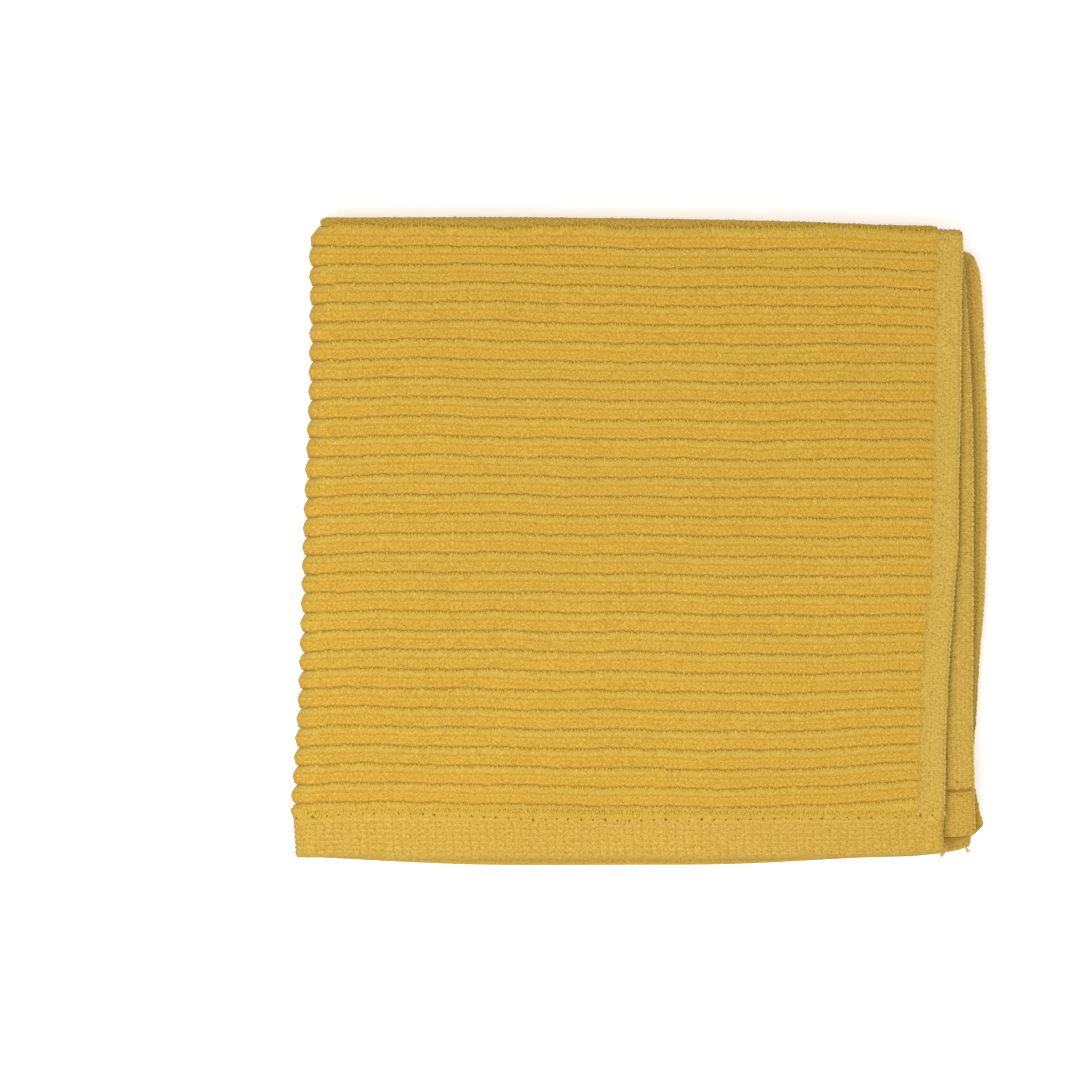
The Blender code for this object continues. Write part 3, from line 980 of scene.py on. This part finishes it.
def pile_loops(material):
    """Short loops of pile that lean this way and that along each rib."""
    rng = np.random.default_rng(PILE_SEED)
    stray_along, stray_across, stray_up = PILE_STRAYS
    pieces = []
    for name, share, sink, length, thickness, arch, paleness in PILE_ROWS:
        u, v = rib_places(PILE_PITCH, share, rng, stray_along).T
        count = len(u)
        w = face_height(u, v) - sink * MM + rng.normal(0.0, stray_up, count)
        wander = TUFT_WANDER * np.sin(u / TUFT_PITCH)
        tuft = np.sin(2 * math.pi * (u + wander) / TUFT_PITCH + TUFT_TURN * v)
        v = v + TUFT_REACH * tuft + rng.normal(0.0, stray_across, count)
        v = v - FOLD_FRINGE_SHIFT * fold_share(u)
        sizes = stacked(*[
            size * MM * rng.uniform(least, greatest, count)
            for size, (least, greatest) in zip((length, thickness, thickness), PILE_SCALES)
        ])
        turns = math.pi / 2 + rng.normal(0.0, PILE_LEAN, count)
        tone = varied_tones(rng, paleness, PILE_TONE_SPREAD, count)
        centres = stacked(u, v, w)
        pieces.append(laid_beads(name, PILE_SIDES, centres, sizes, turns, tone, material, arch * MM))
    return pieces


def hem_pile(material):
    """The pile's last loops, which the hem's stitches hold down."""
    rng = np.random.default_rng(HEM_PILE_SEED)
    centres, tones = [], []
    for share, height, paleness in HEM_PILE_ROWS:
        u = np.arange(BAND_WIDTH, SECOND_FOLD_END, PILE_PITCH)
        v = stitch_depth(u) + share * (HEM_DEPTH + HEM_STEP - stitch_depth(u))
        w = np.full(len(u), HEM_HEIGHT + height * MM)
        centres.append(stacked(u, v, w))
        tones.append(np.full(len(u), paleness))
    centres = np.concatenate(centres)
    centres += rng.normal(0.0, 1.0, centres.shape) * HEM_PILE_STRAY
    return varied_beads("hem_pile", rng, centres, np.concatenate(tones), material)


def weft_beads(material):
    """Two rows of small floats along each rib."""
    rng = np.random.default_rng(WEFT_SEED)
    stray_along, stray_across, stray_up = BEAD_STRAYS
    centres, sizes = [], []
    for share, sink, length, width, height in BEAD_ROWS:
        u, v = rib_places(BEAD_PITCH, share, rng, stray_along).T
        count = len(u)
        w = face_height(u, v) - sink * MM + rng.normal(0.0, stray_up, count)
        v = v + rng.normal(0.0, stray_across, count)
        centres.append(stacked(u, v, w))
        scale = rng.uniform(*BEAD_SCALE, (count, 3))
        sizes.append(np.array([length, width, height]) * MM * scale)
    centres, sizes = np.concatenate(centres), np.concatenate(sizes)
    turns = rng.normal(0.0, BEAD_LEAN, len(centres))
    tone = varied_tones(rng, BEAD_PALENESS, BEAD_TONE_SPREAD, len(centres))
    return laid_beads("weft_beads", BEAD_SIDES, centres, sizes, turns, tone, material)


def plain_paleness(v):
    """Paleness of the plain weave, less in the hems than in the side bands."""
    inside = ramp(hem_distance(v), HEM_DEPTH - HEM_SLOPE, HEM_DEPTH + HEM_SLOPE)
    return HEM_PALENESS + inside * (BAND_PALENESS - HEM_PALENESS)


def float_places(u_range, v_range):
    """Places of floats in columns along v, every other column set off by half a float."""
    u = np.arange(u_range[0], u_range[1], FLOAT_ALONG)
    v = np.arange(v_range[0], v_range[1], FLOAT_ACROSS)
    u, v = np.meshgrid(u, v)
    v[:, 1::2] += FLOAT_ACROSS / 2
    return stacked(u.ravel(), v.ravel())


def float_areas():
    """Areas of plain weave on the face and on the back, as ranges of u and v."""
    near_half = (HEM_DEPTH, FIRST_FOLD_END)
    far_half = (FIRST_FOLD_END, far_place(HEM_DEPTH + SEAM_MARGIN))
    near_hem = (HEM_EDGE_MARGIN, HEM_FLOATS_END)
    far_hem = (far_place(HEM_DEPTH - SEAM_MARGIN), far_place(FLOAT_MARGIN))
    top_band = (FLOAT_MARGIN, BAND_WIDTH - BAND_STEP)
    third_band = (CLOTH_WIDTH - BAND_WIDTH + BAND_STEP, CLOTH_WIDTH - FLOAT_MARGIN)
    second_band = (FLOAT_MARGIN, BAND_WIDTH + BACK_BAND_REACH)
    on_face = (
        ((HEM_SIDE_MARGIN, HALF_WIDTH), near_hem),
        (top_band, near_half),
        (third_band, far_half),
        (third_band, far_hem),
    )
    on_back = (
        (second_band, far_half),
        (second_band, far_hem),
    )
    return on_face, on_back


def woven_floats(name, areas, on_back, material):
    """Small floats of the plain weave over some areas of the face or the back."""
    rng = np.random.default_rng(BACK_FLOAT_SEED if on_back else FACE_FLOAT_SEED)
    places = np.concatenate([float_places(u_range, v_range) for u_range, v_range in areas])
    places += rng.normal(0.0, FLOAT_STRAY, places.shape)
    u, v = places.T
    sink = FLOAT_SIZE[2] * RING_SIZE
    if on_back:
        w = back_height(u, v) - BACK_FLOAT_RISE + sink
    else:
        w = face_height(u, v) + FACE_FLOAT_RISE - sink
    return varied_beads(name, rng, stacked(u, v, w), plain_paleness(v), material)


def edge_threads(material):
    """The thread that binds each side edge, in short slanting stitches."""
    rng = np.random.default_rng(EDGE_THREAD_SEED)
    v = np.arange(EDGE_THREAD_PITCH / 2, CLOTH_LENGTH, EDGE_THREAD_PITCH)
    edges = np.repeat([EDGE_THREAD_INSET, CLOTH_WIDTH - EDGE_THREAD_INSET], len(v))
    rows = len(EDGE_THREAD_RISES)
    u = np.tile(edges, rows) + rng.normal(0.0, EDGE_THREAD_STRAY, rows * len(edges))
    w = BAND_HEIGHT * np.repeat(EDGE_THREAD_RISES, len(edges))
    centres = stacked(u, np.tile(v, 2 * rows), w)
    return varied_beads("edge_threads", rng, centres, EDGE_THREAD_PALENESS, material)


def stitch_line(far):
    """Places along a hem's row of stitches. far says which hem; its stitches are seen on the back."""
    u = np.arange(STITCH_PITCH / 2, CLOTH_WIDTH, STITCH_PITCH)
    depth = stitch_depth(u)
    v = far_place(depth) if far else depth
    w = back_height(u, v) if far else face_height(u, v)
    return u, v, w


def hem_stitches(material):
    """Lockstitches of the near hem on the face, and of the far hem on the back."""
    rng = np.random.default_rng(STITCH_SEED)
    centres = np.concatenate([stacked(*stitch_line(far)) for far in (False, True)])
    centres += rng.normal(0.0, STITCH_STRAY, centres.shape)
    centres[:, 2] += np.where(centres[:, 1] > HALF_LENGTH, STITCH_SINK, -STITCH_SINK)
    return varied_beads("hem_stitches", rng, centres, STITCH_PALENESS, material)


def painted_hole_shades(material):
    """Small dark dishes: painted shade in the needle holes between hem stitches and along side bands."""
    rng = np.random.default_rng(HOLE_SEED)
    centres, scales = [], []
    for far in (False, True):
        u, v, w = stitch_line(far)
        centres.append(stacked(u + STITCH_PITCH / 2, v, w))
        scales.append(rng.uniform(*HEM_HOLE_SCALE, len(u)))
    on_hems = sum(len(part) for part in centres)
    for far in (False, True):
        v = np.arange(HEM_DEPTH, FIRST_FOLD_START, BAND_HOLE_PITCH)
        v = v[rng.uniform(0.0, 1.0, len(v)) < BAND_HOLES_SHOWN]
        v = CLOTH_LENGTH - v if far else v
        u = BAND_HOLE_INSET + rng.normal(0.0, BAND_HOLE_STRAY, len(v))
        w = back_height(u, v) if far else face_height(u, v)
        centres.append(stacked(u, v, w))
        scales.append(rng.uniform(*BAND_HOLE_SCALE, len(v)) * BAND_HOLE_SHARE)
    centres, scales = np.concatenate(centres), np.concatenate(scales)
    centres[:, :2] += rng.normal(0.0, HOLE_STRAY, (len(centres), 2))
    sizes = np.array(HOLE_SIZE) * scales[:, None]
    turns = rng.uniform(0.0, math.pi, len(centres))
    tone = rng.uniform(*HOLE_PALENESS, len(centres))
    tone[on_hems:] += BAND_HOLE_PALENESS
    return laid_beads("painted_hole_shades", BEAD_SIDES, centres, sizes, turns, tone, material)


def smooth_path(points, steps):
    """Points of a smooth curve through the given ones."""
    table = np.column_stack([np.arange(len(points)), points])
    t = np.linspace(0, len(points) - 1, (len(points) - 1) * steps + 1)
    return stacked(*[curve_value(table, column, t) for column in (1, 2, 3)])


def strand(points, radius, sides):
    """Points and faces of a round thread along a path, tapered to its two ends."""
    along = np.gradient(points, axis=0)
    along /= np.linalg.norm(along, axis=1)[:, None]
    across = np.cross(along, (0.0, 0.0, 1.0))
    across /= np.linalg.norm(across, axis=1)[:, None]
    up = np.cross(across, along)
    i, j = np.arange(sides), (np.arange(sides) + 1) % sides
    turns = 2 * math.pi * i / sides
    ring = across[:, None] * np.cos(turns)[None, :, None] + up[:, None] * np.sin(turns)[None, :, None]
    taper = TAPER_END + (1 - TAPER_END) * np.sin(np.linspace(*TAPER_PART, len(points)) * math.pi)
    body = (points[:, None] + ring * radius * taper[:, None, None]).reshape(-1, 3)
    start = np.arange(len(points) - 1)[:, None] * sides
    quads = stacked(start + i, start + j, start + j + sides, start + i + sides).reshape(-1, 4)
    first, last = len(body), len(body) + 1
    end = (len(points) - 1) * sides
    caps = np.concatenate([
        stacked(np.full(sides, first), j, i),
        stacked(np.full(sides, last), end + i, end + j),
    ])
    return np.concatenate([body, points[:1], points[-1:]]), quads, caps


def loose_threads(material):
    """Thread ends that hang from the corners of the hems, each twisted of two."""
    points, quads, caps = [], [], []
    offset = 0
    for route in LOOSE_THREADS:
        path = smooth_path(np.array(route) * MM, LOOSE_STEPS)
        length = np.concatenate([[0.0], np.cumsum(np.linalg.norm(np.diff(path, axis=0), axis=1))])
        for half in (0.0, math.pi):
            turn = 2 * math.pi * length / TWIST_PITCH + half
            swing = stacked(np.cos(turn), np.zeros_like(turn), np.sin(turn)) * TWIST_RADIUS
            parts = strand(path + swing, LOOSE_RADIUS, LOOSE_SIDES)
            points.append(parts[0])
            quads.append(parts[1] + offset)
            caps.append(parts[2] + offset)
            offset += len(parts[0])
    points = np.concatenate(points)
    faces = [np.concatenate(quads), np.concatenate(caps)]
    tones = {"paleness": np.full(len(points), LOOSE_PALENESS)}
    return add_piece("loose_threads", points, faces, material, tones)


# Materials

def linear(colour):
    """A colour as it is seen, 0 to 255, as the shader takes it."""
    shares = np.array(colour) / 255.0
    return (*np.where(shares <= 0.04045, shares / 12.92, ((shares + 0.055) / 1.055) ** 2.4), 1.0)


def add_node(tree, kind, links=None, **settings):
    """A node with its settings, and its sockets set to values or linked to other sockets."""
    node = tree.nodes.new(kind)
    for name, value in settings.items():
        setattr(node, name, value)
    for key, value in (links or {}).items():
        if isinstance(value, bpy.types.NodeSocket):
            tree.links.new(value, node.inputs[key])
        else:
            node.inputs[key].default_value = value
    return node


def maths(tree, operation, first, second=0.0):
    """The result of a sum on one or two values."""
    return add_node(tree, "ShaderNodeMath", {0: first, 1: second}, operation=operation).outputs[0]


def mixed(tree, factor, first, second, blend="MIX"):
    """A colour between two colours."""
    links = {MIX_FACTOR: factor, MIX_FIRST: first, MIX_SECOND: second}
    node = add_node(tree, "ShaderNodeMix", links, data_type="RGBA", blend_type=blend)
    return node.outputs[MIX_RESULT]


def attribute(tree, name):
    """A value that the mesh holds for each point."""
    return add_node(tree, "ShaderNodeAttribute", attribute_name=name).outputs["Fac"]


def noise(tree, scale, detail):
    """Noise in the object's own space. scale is in waves for each metre."""
    place = add_node(tree, "ShaderNodeTexCoord").outputs["Object"]
    links = {"Vector": place, "Scale": scale, "Detail": detail}
    return add_node(tree, "ShaderNodeTexNoise", links).outputs["Fac"]


def weave(tree):
    """A plain weave on the flat cloth, 0 between its yarns and 1 on them."""
    warp = maths(tree, "MULTIPLY", attribute(tree, "along"), math.pi / WARP_PITCH)
    weft = maths(tree, "MULTIPLY", attribute(tree, "across"), math.pi / WEFT_PITCH)
    cells = maths(tree, "MULTIPLY", maths(tree, "SINE", warp), maths(tree, "SINE", weft))
    return maths(tree, "ABSOLUTE", cells)


def make_cotton(name, low, high, hue_grain, tone_grain, woven):
    """Dry cotton: its colour runs from low to high with the paleness of each place."""
    material = bpy.data.materials.new(name)
    material.use_nodes = True
    tree = material.node_tree
    shader = tree.nodes["Principled BSDF"]
    fibre = noise(tree, FIBRE_WAVES, FIBRE_DETAIL)
    broad = noise(tree, BROAD_WAVES, BROAD_DETAIL)
    grain = maths(tree, "SUBTRACT", fibre, 0.5)

    hue_shift = maths(tree, "MULTIPLY", grain, hue_grain)
    paleness = maths(tree, "ADD", attribute(tree, "paleness"), hue_shift)
    colour = mixed(tree, paleness, linear(low), linear(high))
    # Painted shade: warm in the grooves, troughs, bead gaps and seam, grey on the noses and in the seam
    if woven:
        colour = mixed(tree, attribute(tree, "warm_shade"), colour, linear(WARM_SHADE))
    colour = mixed(tree, attribute(tree, "shaded"), colour, linear(SHADED))
    shade_range = {"Value": broad, "To Min": BROAD_SHADES[0], "To Max": BROAD_SHADES[1]}
    shade = add_node(tree, "ShaderNodeMapRange", shade_range).outputs["Result"]
    shade = maths(tree, "ADD", shade, maths(tree, "MULTIPLY", grain, tone_grain))
    greys = {"Red": shade, "Green": shade, "Blue": shade}
    grey = add_node(tree, "ShaderNodeCombineColor", greys).outputs["Color"]
    tree.links.new(mixed(tree, 1.0, colour, grey, "MULTIPLY"), shader.inputs["Base Color"])

    height = maths(tree, "MULTIPLY", fibre, FIBRE_HEIGHT)
    if woven:
        height = maths(tree, "ADD", height, maths(tree, "MULTIPLY", weave(tree), WEAVE_HEIGHT))
    relief = {"Height": height, "Strength": BUMP_STRENGTH, "Distance": BUMP_DISTANCE}
    lift = add_node(tree, "ShaderNodeBump", relief)
    tree.links.new(lift.outputs["Normal"], shader.inputs["Normal"])
    for socket, value in COTTON_GLOSS.items():
        shader.inputs[socket].default_value = value
    shader.inputs["Sheen Tint"].default_value = linear(PALE)
    return material


# Surroundings

def make_floor():
    """A plain pale floor."""
    mesh = bpy.data.meshes.new("floor")
    signs = ((-1, -1), (1, -1), (1, 1), (-1, 1))
    corners = [(x * FLOOR_REACH, y * FLOOR_REACH, 0.0) for x, y in signs]
    mesh.from_pydata(corners, [], [(0, 1, 2, 3)])
    material = bpy.data.materials.new("pale_floor")
    material.use_nodes = True
    shader = material.node_tree.nodes["Principled BSDF"]
    shader.inputs["Base Color"].default_value = linear(GROUND)
    shader.inputs["Roughness"].default_value = FLOOR_ROUGHNESS
    shader.inputs["Emission Color"].default_value = linear(GROUND)
    shader.inputs["Emission Strength"].default_value = FLOOR_GLOW
    mesh.materials.append(material)
    floor = bpy.data.objects.new("floor", mesh)
    bpy.context.scene.collection.objects.link(floor)


def make_light(name, azimuth, elevation, distance, size, power):
    """A soft square lamp that looks at the cloth. Azimuth 0 is below the picture's lower edge."""
    a, e = math.radians(azimuth), math.radians(elevation)
    lamp = bpy.data.lights.new(name, "AREA")
    lamp.size = size
    lamp.energy = power
    light = bpy.data.objects.new(name, lamp)
    light.location = (
        distance * math.sin(a) * math.cos(e),
        -distance * math.cos(a) * math.cos(e),
        distance * math.sin(e),
    )
    light.rotation_euler = (math.pi / 2 - e, 0.0, a)
    bpy.context.scene.collection.objects.link(light)


def make_studio():
    """Lights, world and the camera straight above."""
    scene = bpy.context.scene
    for light in LIGHTS:
        make_light(*light)
    world = bpy.data.worlds.new("studio")
    world.use_nodes = True
    background = world.node_tree.nodes["Background"]
    background.inputs["Color"].default_value = (1.0, 1.0, 1.0, 1.0)
    background.inputs["Strength"].default_value = WORLD_LIGHT
    scene.world = world
    scene.view_settings.view_transform = "Standard"

    camera = bpy.data.objects.new("camera", bpy.data.cameras.new("camera"))
    camera.data.lens = LENS
    camera.data.sensor_width = SENSOR
    view_size = max(PHOTO_WIDTH, PHOTO_HEIGHT) * PIXEL
    distance = view_size * LENS / SENSOR
    camera.location = (*VIEW_CENTRE, CAD_BOX[1].z + distance)
    scene.collection.objects.link(camera)
    scene.camera = camera


def main():
    """The whole scene."""
    make_floor()
    make_studio()
    woven, plain, pile, thread, hole_shade = [make_cotton(*cotton) for cotton in COTTONS]
    sheet = make_sheet(woven)
    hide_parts("cloth")
    face_areas, back_areas = float_areas()
    on_it = [
        *pile_loops(pile),
        hem_pile(pile),
        weft_beads(pile),
        woven_floats("face_floats", face_areas, False, plain),
        woven_floats("back_floats", back_areas, True, plain),
        edge_threads(thread),
        hem_stitches(plain),
        painted_hole_shades(hole_shade),
        loose_threads(thread),
    ]


main()
